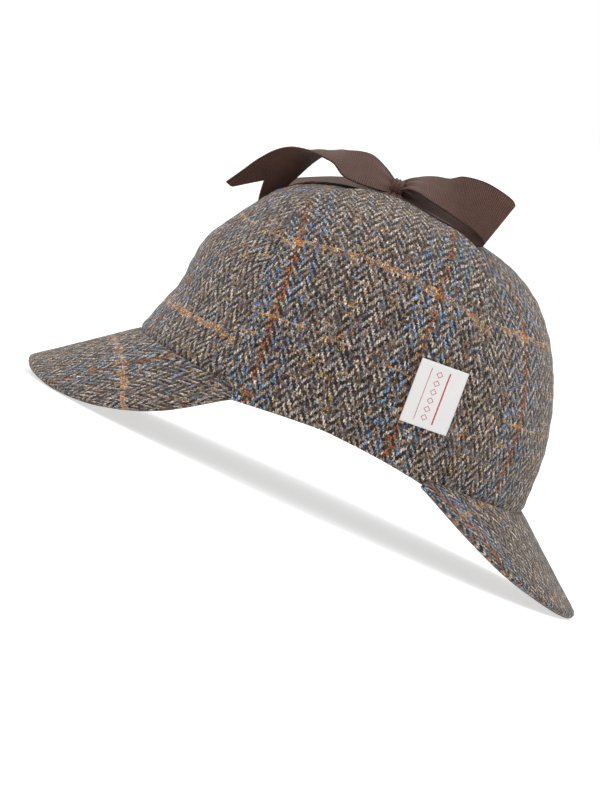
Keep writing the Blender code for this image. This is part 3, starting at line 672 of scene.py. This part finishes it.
def make_gore(name, index, shift):
    """A gore of the crown, from seam to seam and from the rim to the apex.

    Its outer face sinks into each seam and at the rim as a bell curve of the distance from it, and is uneven.
    The inner face is the cloth's thickness behind it. The rim presses a little into the peaks.
    """
    turn = math.tau / GORES
    rows, columns = 130, 84
    way = np.linspace(0.0, 1.0, rows + 1) ** 1.02 * 0.985
    seams = np.array([index * turn, (index + 1) * turn])
    spread = np.linspace(-1.0, 1.0, columns + 1)
    spread = (spread + 0.08 * np.sin(spread * math.pi)) / 2 + 0.5
    way = way[:, None]
    edges = seams + np.array([1, -1]) * SEAM_GAP / 4 / crown_stride(seams, way)
    angle = edges[:, :1] + (edges[:, 1:] - edges[:, :1]) * spread
    base, normal = crown_point(angle, way), crown_normal(angle, way)
    cloth = gore_cloth(angle, way + 0.0 * angle, seams.mean())
    across = run_length(base, 1)
    seam = np.minimum(across, across[:, -1:] - across)
    rim = run_length(base, 0)
    sink = SEAM_DEPTH * np.exp(-((seam / SEAM_ROLL) ** 2)) + RIM_DEPTH * np.exp(-((rim / RIM_ROLL) ** 2))
    uneven = uneven_cloth(cloth[..., 0] + 0.1, cloth[..., 1], 20 + index, 40, 0.00035)
    pucker = 0.00016 * np.sin(cloth[..., 1] / 0.0048 * math.pi) * np.exp(-((seam / 0.006) ** 2))
    outer = base + normal * (uneven * eased(seam / 0.004) * eased(rim / 0.004) + pucker - sink)[..., None]
    inner = base - normal * CROWN_CLOTH
    outer[0, :, 2] = inner[0, :, 2] = -1.5 * SEAM_GAP
    piece = add_shell(name, outer, inner, cloth + shift, TWEED)
    return piece


def flap_points(rows, columns, side_shift=0.0):
    """The crown's face under the left flap, rows from the hem to the tip, and the outward normals there."""
    row, column = np.linspace(0.0, 1.0, rows + 1)[:, None], np.linspace(0.0, 1.0, columns + 1)
    row = row + 0.0 * column
    column = column - 0.12 * np.sin(column * math.tau) / math.tau
    front = HALF_LENGTH * smooth_column(FLAP_FRONT, row)
    back = HALF_LENGTH * smooth_column(FLAP_BACK, row)
    points = over_crown(front + (back - front) * column, smooth_column(FLAP_UP, row))
    normals = grid_normals(points)
    return points, normals * np.sign(normals[..., 0].mean())


def hem_drop(along):
    """How far the hem hangs below the rim: a curve from its middle to each corner, drawn up past the peaks."""
    ends = np.where(along < 0, FRONT_PEAK["end"], BACK_PEAK["end"])
    corner = np.where(along < 0, HEM_FRONT, HEM_BACK)
    depth = HEM_MIDDLE + (corner - HEM_MIDDLE) * np.abs(along / ends) ** np.where(along < 0, 1.3, 2.3)
    return HEM_TUCK + (depth - HEM_TUCK) * eased((ends - SEAM_GAP - np.abs(along)) / HEM_TURN)


def make_flap(name, side, shift):
    """An ear flap: the crown's face under it, set off by the clearance and again by the flap's thickness.

    The thickness at each point is a quarter round of its distance from the flap's nearest edge. Below the rim
    the hem hangs straight down.
    """
    rows, columns, hem_rows = 120, 126, 8
    points, normals = flap_points(rows, columns)
    drop = hem_drop(points[0, :, 1])
    share = np.linspace(1.0, 0.0, hem_rows + 1)[:-1, None]
    hem = np.repeat(points[:1], hem_rows, axis=0)
    hem[..., 2] += 2 * SEAM_GAP * share - drop * share
    hem_normals = np.repeat(unit(normals[:1] * (1, 1, 0)), hem_rows, axis=0)
    points, normals = np.concatenate([hem, points]), np.concatenate([hem_normals, normals])
    edge = edge_distance(points)
    across, up = run_length(points, 1) + 0.2, run_length(points, 0)
    lift = 0.0012 * np.exp(-((edge / 0.010) ** 2)) * np.clip(lumps(across, up, 0.030, 7), 0, 1)
    uneven = uneven_cloth(across, up, 8, 1, 0.00045, coarse=0.022)
    thick = 0.0004 + (FLAP_THICKNESS - 0.0004 + uneven) * rounded(edge, EDGE_ROLL)
    inner = points + normals * (FLAP_CLEARANCE + 0.3 * lift)[..., None]
    outer = points + normals * (FLAP_CLEARANCE + lift + thick)[..., None]
    cut, middle = run_length(outer, 1), np.argmin(np.abs(points[..., 1]), axis=1)[:, None]
    across = cut - np.take_along_axis(cut, middle, 1) + np.take_along_axis(points[..., 1], middle, 1)
    up = up[:, up.shape[1] // 2][:, None] + 0.0 * up
    up[: hem_rows + 1] -= (drop - HEM_MIDDLE) * np.linspace(1.0, 0.0, hem_rows + 1)[:, None]
    cloth = np.stack([across + FLAP_SHEAR * up, up], axis=-1)
    if side < 0:
        outer, inner = outer * (-1, 1, 1), inner * (-1, 1, 1)
    piece = add_shell(name, outer, inner, cloth + shift, TWEED)
    return piece


def peak_surface(rows, columns, reach, drop, width, end, facing, drops):
    """A peak's upper face: half an ellipse in plan, flat under the crown's wall, then sloping to its outer edge.

    Rows run from one end round the tip to the other. Columns run from inside the crown's wall to the outer
    edge, closer together near that edge.
    """
    turn = np.linspace(-math.pi / 2, math.pi / 2, rows + 1)
    rim_angle = turn / (math.pi / 2) * math.acos(end / HALF_LENGTH)
    around = np.stack([np.sin(rim_angle), np.cos(rim_angle)], axis=-1)
    inner_half = np.array([HALF_WIDTH - CROWN_CLOTH, HALF_LENGTH - CROWN_CLOTH])
    wall = np.array([HALF_WIDTH, HALF_LENGTH])
    edge = np.stack([width / 2 * np.sin(turn), end + (HALF_LENGTH + reach - end) * np.cos(turn)], axis=-1)
    fall = drop * smooth_column([*drops[::-1], *drops[1:]], turn / math.pi + 0.5)
    out = np.sin(np.linspace(0.0, 1.0, columns + 1) * math.pi / 2)[None, :, None]
    plan = (around * wall)[:, None] + (edge - around * wall)[:, None] * out
    plan = np.concatenate([(around * inner_half)[:, None], plan], axis=1)
    down = np.concatenate([np.zeros((rows + 1, 1)), fall[:, None] * out[..., 0]], axis=1)
    return np.stack([plan[..., 0] * -facing, plan[..., 1] * facing, -SEAM_GAP - down], axis=-1)


def make_peak(name, peak, drops, shift):
    """A peak: its upper face, and a lower face a thickness from it, which rounds off at the edge."""
    points = peak_surface(240, 70, drops=drops, **peak)
    normals = grid_normals(points)
    normals *= np.sign(normals[..., 2:].mean())
    normals[:, 0] = (0.0, 0.0, 1.0)
    normals[:, 1] = unit(normals[:, 1] + (0.0, 0.0, 1.0))
    outward = run_length(points, 1)
    edge = outward[:, -1:] - outward
    end = run_length(points, 0)
    end = np.minimum(end, end[-1:] - end)
    factor = rounded(np.minimum(edge, end + 0.0006), PEAK_THICKNESS * 0.55)
    turn = np.linspace(-math.pi / 2, math.pi / 2, len(points))[:, None]
    sideways = -peak["facing"] * np.sin(turn)
    fall = -points[..., 2]
    curl = PEAK_THICKNESS * 0.7 * (1 - factor)
    across = points[..., 0] + (0.75 * fall * np.abs(sideways) + curl) * sideways
    along = np.abs(points[..., 1]) + (0.40 * fall * np.cos(turn) + curl) * np.cos(turn)
    cloth = np.stack([across, along + PEAK_BIAS * np.abs(across)], axis=-1)
    uneven = uneven_cloth(cloth[..., 0] + 0.3, cloth[..., 1], 31, 1, 0.00025, coarse=0.020)
    half = PEAK_THICKNESS / 2 * np.maximum(factor, 0.06)
    middle = points - normals * PEAK_THICKNESS / 2
    outer = middle + normals * (half + uneven * factor * eased((outward - 0.003) / 0.004))[..., None]
    inner = middle - normals * half[..., None]
    piece = add_shell(name, outer, inner, cloth + shift, TWEED)
    return piece


def ribbon_sheet(table, rows, columns=24):
    """A ribbon's middle sheet, straight from edge to edge but for a parabola that bows it up."""
    place = np.linspace(0.0, 1.0, rows + 1)
    read = RIBBON_WIDTH * np.stack([smooth_column(column, place) for column in zip(*table)], axis=-1)
    near, far, bow = read[:, None, :3], read[:, None, 3:6], read[:, None, 6:]
    across = np.linspace(0.0, 1.0, columns + 1)[None, :, None]
    upward = bow * 4 * across * (1 - across) * (0, 0, 1)
    return near + (far - near) * across + upward + (0, -KNOT_PLACE, CROWN_HEIGHT)


def over_flap(side, along):
    """1 over an ear flap's upper part and 0 beyond its edges, eased across a few millimetres."""
    upper = flap_points(60, 4)[0][:29:-1]
    front, back = [np.interp(np.abs(side), upper[:, i, 0], upper[:, i, 1]) for i in (0, -1)]
    inside = np.minimum(np.minimum(along - front, back - along), np.abs(side) - upper[0, :, 0].min())
    return eased(inside / 0.003 + 1)


def clear_of_hat(middle):
    """A ribbon's middle sheet, lifted where it would sink into the crown or into a flap that lies on it."""
    side, along = middle[..., 0], middle[..., 1]
    ground = crown_top(side, along)
    stack = 0.0003 + RIBBON_THICKNESS / 2 + (FLAP_CLEARANCE + FLAP_THICKNESS) * over_flap(side, along)
    lifted = middle.copy()
    lifted[..., 2] = np.maximum(middle[..., 2], np.where(ground > 0, ground + stack, -1.0))
    return lifted


def gathered(table, rows):
    """A ribbon's middle sheet, waved across where it is drawn in at the knot, and clear of the hat."""
    middle = ribbon_sheet(table, rows)
    across = np.linspace(0.0, 1.0, middle.shape[1])[None, :]
    width = np.linalg.norm(middle[:, -1:] - middle[:, :1], axis=-1) / RIBBON_WIDTH
    wave = 0.0012 * np.clip(1.0 - width, 0.0, 1.0) * np.sin(across * math.tau * 2.5 + 0.6)
    return clear_of_hat(middle + grid_normals(middle) * wave[..., None])


def add_ribbon(name, middle):
    """A ribbon of even thickness to each side of its middle sheet."""
    columns = middle.shape[1]
    across = np.linspace(-0.5, 0.5, columns)[None, :] * RIBBON_WIDTH + 0.0 * middle[..., 0]
    along = run_length(middle, 0)[:, columns // 2][:, None] + 0.0 * middle[..., 0]
    offset = grid_normals(middle) * RIBBON_THICKNESS / 2
    cloth = np.stack([across, along], axis=-1)
    piece = add_shell(name, middle + offset, middle - offset, cloth, GROSGRAIN)
    return piece


def make_rear_loop():
    return add_ribbon("rear_loop", gathered(REAR_LOOP, 160))


def make_front_tail():
    """The front tail, each column of which is cut short by its share of the notch at the end."""
    middle = gathered(FRONT_TAIL, 150)
    across = np.linspace(0.0, 1.0, middle.shape[1])
    notch = TAIL_NOTCH * np.clip((1 - np.abs(2 * across - 1) - NOTCH_BLUNT) / (1 - NOTCH_BLUNT), 0, 1)
    length = run_length(middle.mean(axis=1, keepdims=True), 0)[:, 0]
    for column, cut in enumerate(notch):
        kept, strip = length * (1 - cut / length[-1]), middle[:, column].copy()
        middle[:, column] = np.stack([np.interp(kept, length, strip[:, axis]) for axis in range(3)], axis=-1)
    return add_ribbon("front_tail", middle)


def make_far_tail():
    return add_ribbon("far_tail", gathered(FAR_TAIL, 90))


def make_flap_ribbon(name, side):
    """The ribbon from a flap's tip to the knot: straight in plan, and lifted at its end into the knot."""
    points, normals = flap_points(18, 14)
    tip = points[-1] + normals[-1] * (FLAP_CLEARANCE + RIBBON_THICKNESS / 2)
    toward = unit((tip - points[-2]).mean(axis=0) * (1, 0, 0))
    start = tip[[0, -1]] + toward * SEAM_GAP
    level = min(KNOT_ENTRY + RIBBON_THICKNESS / KNOT_HEIGHT, 0.5)
    knot_side = math.sqrt(1 - (1 - 2 * level) ** 2) * KNOT_WIDTH / 2 - 0.0015
    entry = CROWN_HEIGHT + SEAM_GAP + KNOT_ENTRY * KNOT_HEIGHT
    half = KNOT_LENGTH * 0.42
    end = np.array([[knot_side, -KNOT_PLACE - half, entry], [knot_side, -KNOT_PLACE + half, entry]])
    way = np.linspace(0.0, 1.0, 41)[:, None, None]
    edges = start + (end - start) * way
    across = np.linspace(0.0, 1.0, 25)
    middle = edges[:, :1] + (edges[:, 1:] - edges[:, :1]) * across[:, None]
    ground = crown_top(middle[..., 0], middle[..., 1]) + FLAP_CLEARANCE + RIBBON_THICKNESS / 2
    middle[..., 2] = ground + (middle[..., 2] - ground)[-1] * way[..., 0] ** 2
    middle[..., 2] += 0.0017 * way[..., 0] * np.abs(np.sin(across * math.tau * 1.5))
    if side < 0:
        middle = middle * (-1, 1, 1)
    return add_ribbon(name, middle)


def make_knot():
    """The band round the bow: a barrel whose radius swells to its middle and dips between its pleats."""
    rows, columns = 36, 72
    place = np.linspace(-1.0, 1.0, rows + 1)[:, None]
    around = np.linspace(0.0, math.tau, columns + 1)[None, :-1]
    swell = np.maximum(1 - np.abs(place) ** 8.0, 0.0) ** 0.5
    pleats = 0.96 + 0.06 * np.cos(place * math.pi * 3.2 + 0.9 * np.sin(around + 0.6))
    radius = np.maximum(swell, 0.03) * pleats
    along = KNOT_LENGTH / 2 * place * (0.98 + 0.098 * np.sin(around * 2 + 0.4))
    ring = [KNOT_WIDTH / 2 * radius * np.cos(around), along, KNOT_HEIGHT / 2 * radius * np.sin(around)]
    points = np.stack(ring, axis=-1)
    girth = (KNOT_WIDTH + KNOT_HEIGHT) / 4 * around + 0.0 * place
    flat = np.stack([KNOT_LENGTH / 2 * place + 0.0 * around, girth], axis=-1)
    flat = np.concatenate([flat.reshape(-1, 2), flat[[0, -1], 0]])
    points = np.concatenate([points.reshape(-1, 3), points[[0, -1]].mean(axis=1)]) + KNOT_CENTRE
    here, after = np.arange(columns), np.roll(np.arange(columns), -1)
    step = np.arange(rows)[:, None] * columns
    quads = np.stack([here + step, after + step, after + step + columns, here + step + columns], axis=-1)
    last, pole = rows * columns, (rows + 1) * columns
    low = np.stack([after, here, np.full(columns, pole)], axis=-1)
    high = np.stack([here + last, after + last, np.full(columns, pole + 1)], axis=-1)
    faces = quads.reshape(-1, 4).tolist() + low.tolist() + high.tolist()
    piece = add_piece("ribbon_knot", points, faces, flat, GROSGRAIN)
    return piece


def make_label():
    """The label, which follows the flap at a small gap, its height read back to a way up the crown."""
    slant = math.radians(LABEL_SLANT)
    across = np.linspace(-0.5, 0.5, 41)[None, :] * LABEL_WIDTH
    upward = np.linspace(-0.5, 0.5, 51)[:, None] * LABEL_HEIGHT
    along = LABEL_BACK + across * math.cos(slant) - upward * math.sin(slant)
    height = LABEL_RISE + across * math.sin(slant) + upward * math.cos(slant)
    way = np.linspace(0.0, 1.0, CUT_SAMPLES)
    up = np.interp(height, CROWN_HEIGHT * crown_column("height", way), way)
    angle = math.pi - np.arccos(np.clip(along / HALF_LENGTH / crown_column("back", up), -1, 1))
    points, normals = crown_point(angle, up), crown_normal(angle, up)
    edge = edge_distance(points)
    curl = 0.0005 * np.exp(-((edge / 0.004) ** 2)) + 0.00025 * lumps(across + 0.1, upward + 0.1, 0.012, 51)
    base = FLAP_CLEARANCE + FLAP_THICKNESS + 2 * SEAM_GAP + curl
    cloth = np.stack([across + 0.0 * upward, upward + 0.0 * across], axis=-1)
    inner = points + normals * base[..., None]
    outer = inner + normals * (LABEL_THICKNESS * (0.4 + 0.6 * rounded(edge, 0.0006)))[..., None]
    piece = add_shell("woven_label", outer, inner, cloth, LABEL_WEAVE)
    return piece


def make_crown():
    """The six gores, each with the overcheck where it falls on that gore's cloth."""
    places = ("front_left", "side_left", "back_left", "back_right", "side_right", "front_right")
    shifts = ((0.019, -0.0204), (0.0, 0.0), (0.006, 0.0162), (-0.012, 0.0162), (0.0, 0.0), (-0.024, -0.0204))
    for index, (place, shift) in enumerate(zip(places, shifts)):
        make_gore("crown_" + place, index, shift)


make_crown()
make_flap("left_ear_flap", 1, (0.0435, 0.0142))
make_flap("right_ear_flap", -1, (0.0300, 0.0142))
make_peak("front_peak", FRONT_PEAK, FRONT_DROPS, (-0.054, -0.1243))
make_peak("back_peak", BACK_PEAK, BACK_DROPS, (-0.004, -0.1010))
make_rear_loop()
make_front_tail()
make_far_tail()
make_flap_ribbon("left_ribbon", 1)
make_flap_ribbon("right_ribbon", -1)
make_knot()
make_label()


def lit_table():
    """The finish of a pale table that is lit softly from below as well."""
    material = bpy.data.materials.new("pale_table")
    material.use_nodes = True
    shader = material.node_tree.nodes["Principled BSDF"]
    shader.inputs["Base Color"].default_value = (FLOOR_GREY, FLOOR_GREY, FLOOR_GREY, 1.0)
    shader.inputs["Roughness"].default_value = 0.9
    shader.inputs["Emission Color"].default_value = WHITE
    shader.inputs["Emission Strength"].default_value = FLOOR_GLOW
    return material


def make_floor():
    """A pale disc, far larger than any view of the hat shows."""
    corner = np.linspace(0.0, math.tau, 97)[:-1]
    points = FLOOR_RADIUS * np.stack([np.cos(corner), np.sin(corner), 0.0 * corner], axis=-1)
    mesh = bpy.data.meshes.new("studio_floor")
    mesh.from_pydata(points.tolist(), [], [list(range(len(points)))])
    mesh.materials.append(lit_table())
    floor = bpy.data.objects.new("studio_floor", mesh)
    bpy.context.scene.collection.objects.link(floor)


def add_light(name, place, size, power, target=(0.0, 0.0, 0.08)):
    """A square soft light, turned to the hat."""
    lamp = bpy.data.lights.new(name, "AREA")
    lamp.size = size
    lamp.energy = power
    light = bpy.data.objects.new(name, lamp)
    light.location = place
    light.rotation_euler = (Vector(target) - Vector(place)).to_track_quat("-Z", "Y").to_euler()
    bpy.context.scene.collection.objects.link(light)


def make_lights():
    world = bpy.data.worlds.new("studio")
    world.use_nodes = True
    world.node_tree.nodes["Background"].inputs["Color"].default_value = WHITE
    bpy.context.scene.world = world
    add_light("key_light", (1.3, -0.9, 1.5), 0.8, 4.0)
    add_light("top_light", (0.1, 0.0, 1.9), 0.9, 11.0)


def make_camera():
    """Looks at the hat's left side, a little from above, and is rolled as the photograph is."""
    camera = bpy.data.objects.new("camera", bpy.data.cameras.new("camera"))
    elevation, roll = math.radians(CAMERA_ELEVATION), math.radians(CAMERA_ROLL)
    away = np.array([math.cos(elevation), 0.0, math.sin(elevation)])
    level, upright = np.array([0.0, 1.0, 0.0]), np.array([-math.sin(elevation), 0.0, math.cos(elevation)])
    right = math.cos(roll) * level + math.sin(roll) * upright
    up = math.cos(roll) * upright - math.sin(roll) * level
    place = settle(np.array(PICTURE_MIDDLE)) + away * CAMERA_DISTANCE
    turned = Matrix([Vector(right), Vector(up), Vector(away)]).transposed().to_4x4()
    camera.matrix_world = Matrix.Translation(Vector(place)) @ turned
    camera.data.sensor_width = SENSOR
    camera.data.lens = CAMERA_DISTANCE / METRES_PER_PIXEL / PICTURE_HEIGHT * SENSOR
    camera.data.clip_start, camera.data.clip_end = 0.1, 60.0
    bpy.context.scene.collection.objects.link(camera)
    bpy.context.scene.camera = camera


make_floor()
make_lights()
make_camera()
bpy.context.scene.view_settings.view_transform = "Standard"
